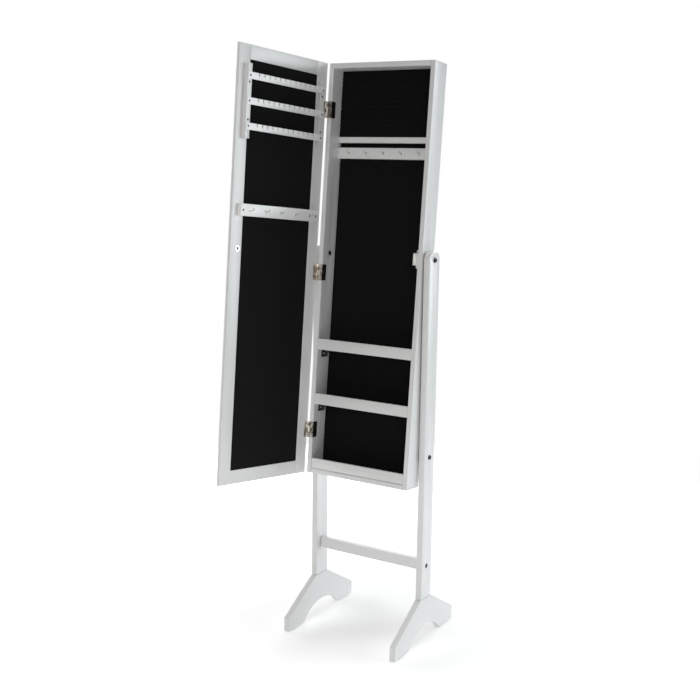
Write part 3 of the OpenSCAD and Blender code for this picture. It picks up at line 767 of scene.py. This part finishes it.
def make_felt(name, node, place, front):
    """Felt glued flat on a board: a thin sheet, its show face a little uneven, its edges soft.

    front is -1 where the show face is the low y side of the sheet, and 1 where it is the high."""
    low, high = box_of([c for corners in solids(node, place) for c in corners])
    across = round((high.x - low.x) / FELT_STEP)
    along = round((high.z - low.z) / FELT_STEP)
    face_y, glued_y = (low.y, high.y) if front < 0 else (high.y, low.y)
    bm = bmesh.new()

    def row(level, show):
        verts = []
        z = low.z + (high.z - low.z) * level / along
        for step in range(across + 1):
            x = low.x + (high.x - low.x) * step / across
            at_edge = level in (0, along) or step in (0, across)
            dip = FELT_DIP * (1 + noise.noise(Vector((x, z, 0.7)) * DIPS_PER_METRE))
            y = face_y - front * (FELT_ROUNDING if at_edge else dip) if show else glued_y
            verts.append(bm.verts.new(place @ Vector((x, y, z))))
        return verts

    grids = [[row(level, show) for level in range(along + 1)] for show in (True, False)]
    for grid in grids:
        for a, b in zip(grid, grid[1:]):
            for i in range(across):
                bm.faces.new((a[i], a[i + 1], b[i + 1], b[i]))
    rims = []
    for grid in grids:
        rims.append(grid[0] + [r[-1] for r in grid[1:-1]] + grid[-1][::-1]
                    + [r[0] for r in grid[-2:0:-1]])
    shown, glued = rims
    for i in range(len(shown)):
        j = (i + 1) % len(shown)
        bm.faces.new((shown[i], shown[j], glued[j], glued[i]))
    bmesh.ops.recalc_face_normals(bm, faces=bm.faces)
    mesh = bpy.data.meshes.new(name)
    bm.to_mesh(mesh)
    bm.free()
    mesh.shade_smooth()
    mesh.set_sharp_from_angle(angle=math.radians(50))
    new_piece(name, mesh, [node])


make_ring_pad()
make_mirror()
make_felt("back_felt_sheet", "back_felt", CABINET, -1)
make_felt("door_felt_sheet", "door_felt", DOOR, 1)

for node, obj in frame["nodes"].items():
    finish_mesh(obj.data, node)


# ---- studio -----------------------------------------------------------------------------

FLOOR_RADIUS = 2.0
EDGE_GLOW, MIDDLE_GLOW = 0.85, 0.15


def make_floor():
    """A pale round floor that grows brighter towards its edge, to end in the white backdrop."""
    bm = bmesh.new()
    bmesh.ops.create_circle(bm, cap_ends=True, segments=96, radius=FLOOR_RADIUS)
    mesh = bpy.data.meshes.new("floor")
    bm.to_mesh(mesh)
    bm.free()
    n = Nodes("pale_floor")
    n.join(n.ramp(n.noise(0.6, 2), [(0.3, grey(0.88)), (0.7, grey(0.90))]),
           n.shader.inputs["Base Color"])
    mapping = n.tree.nodes.new("ShaderNodeMapping")
    mapping.inputs["Scale"].default_value = (1 / FLOOR_RADIUS, 1 / FLOOR_RADIUS, 1)
    ball = n.tree.nodes.new("ShaderNodeTexGradient")
    ball.gradient_type = "SPHERICAL"
    n.join(n.place, mapping.inputs["Vector"])
    n.join(mapping.outputs["Vector"], ball.inputs["Vector"])
    n.join(n.spread(ball.outputs["Fac"], EDGE_GLOW, MIDDLE_GLOW), n.shader.inputs["Emission Strength"])
    n.set(Roughness=0.9, Specular_IOR_Level=0.1, Emission_Color=(1, 1, 1, 1))
    mesh.materials.append(n.material)
    floor = bpy.data.objects.new("floor", mesh)
    scene.collection.objects.link(floor)


def add_light(kind, name, power, away):
    """A light that shines back from the direction away."""
    data = bpy.data.lights.new(name, kind)
    data.energy = power
    light = bpy.data.objects.new(name, data)
    scene.collection.objects.link(light)
    light.rotation_euler = away.to_track_quat("Z", "Y").to_euler()
    return light


# Soft panels round the object: degrees from +X towards +Y, degrees up, watts and colour
COOL, WARM, PLAIN = (0.93, 1.0, 1.03), (1.0, 0.995, 0.96), (1.0, 1.0, 1.0)
PANELS = [(0, 0, 8, COOL), (32, 3, 53, COOL), (90, 0, 10, PLAIN), (125, 0, 42, PLAIN),
          (180, 0, 70, PLAIN), (270, 15, 24, WARM), (315, 0, 12, WARM), (270, 40, 9, WARM)]
GLOSS_CARD = (30, 5, 38, COOL)
CARD_WIDTH = 1.5
PANEL_SIZE = (2.3, 2.2)
PANEL_DISTANCE = 3.4
LIT_HEIGHT = 1.1
OVERHEAD, OVERHEAD_SPREAD = 1.12, 50
BACKDROP_FILL, BACKDROP_SHINE = 0.02, 0.45


def add_panel(name, around, up, power, colour, width):
    a, e = math.radians(around), math.radians(up)
    away = Vector((math.cos(a) * math.cos(e), math.sin(a) * math.cos(e), math.sin(e)))
    light = add_light("AREA", name, power, away)
    light.data.color = colour
    light.data.shape = "RECTANGLE"
    light.data.size, light.data.size_y = width, PANEL_SIZE[1]
    light.location = Vector((0, 0, LIT_HEIGHT)) + away * PANEL_DISTANCE
    light.visible_camera = False
    return light


def make_panels():
    for count, panel in enumerate(PANELS):
        add_panel("panel_%d" % count, *panel, PANEL_SIZE[0])
    # A bright card that only the paint's gloss picks up
    add_panel("gloss_card", *GLOSS_CARD, CARD_WIDTH).visible_diffuse = False


def make_sky(fill, shine):
    """A white backdrop that lights the scene as much as fill and is mirrored as shine."""
    world = bpy.data.worlds.new("studio")
    scene.world = world
    world.use_nodes = True
    tree = world.node_tree
    backdrop = tree.nodes["Background"]
    backdrop.inputs["Color"].default_value = (1, 1, 1, 1)
    seen = tree.nodes.new("ShaderNodeLightPath")
    level = None
    for ray, strength in (("Is Glossy Ray", shine), ("Is Camera Ray", 1.0)):
        mix = tree.nodes.new("ShaderNodeMix")
        mix.inputs["A"].default_value = fill
        mix.inputs["B"].default_value = strength
        if level:
            tree.links.new(level, mix.inputs["A"])
        tree.links.new(seen.outputs[ray], mix.inputs["Factor"])
        level = mix.outputs["Result"]
    tree.links.new(level, backdrop.inputs["Strength"])


make_floor()
make_sky(BACKDROP_FILL, BACKDROP_SHINE)
make_panels()
overhead = add_light("SUN", "overhead", OVERHEAD, Vector((0.15, -0.05, 1)))
overhead.data.angle = math.radians(OVERHEAD_SPREAD)
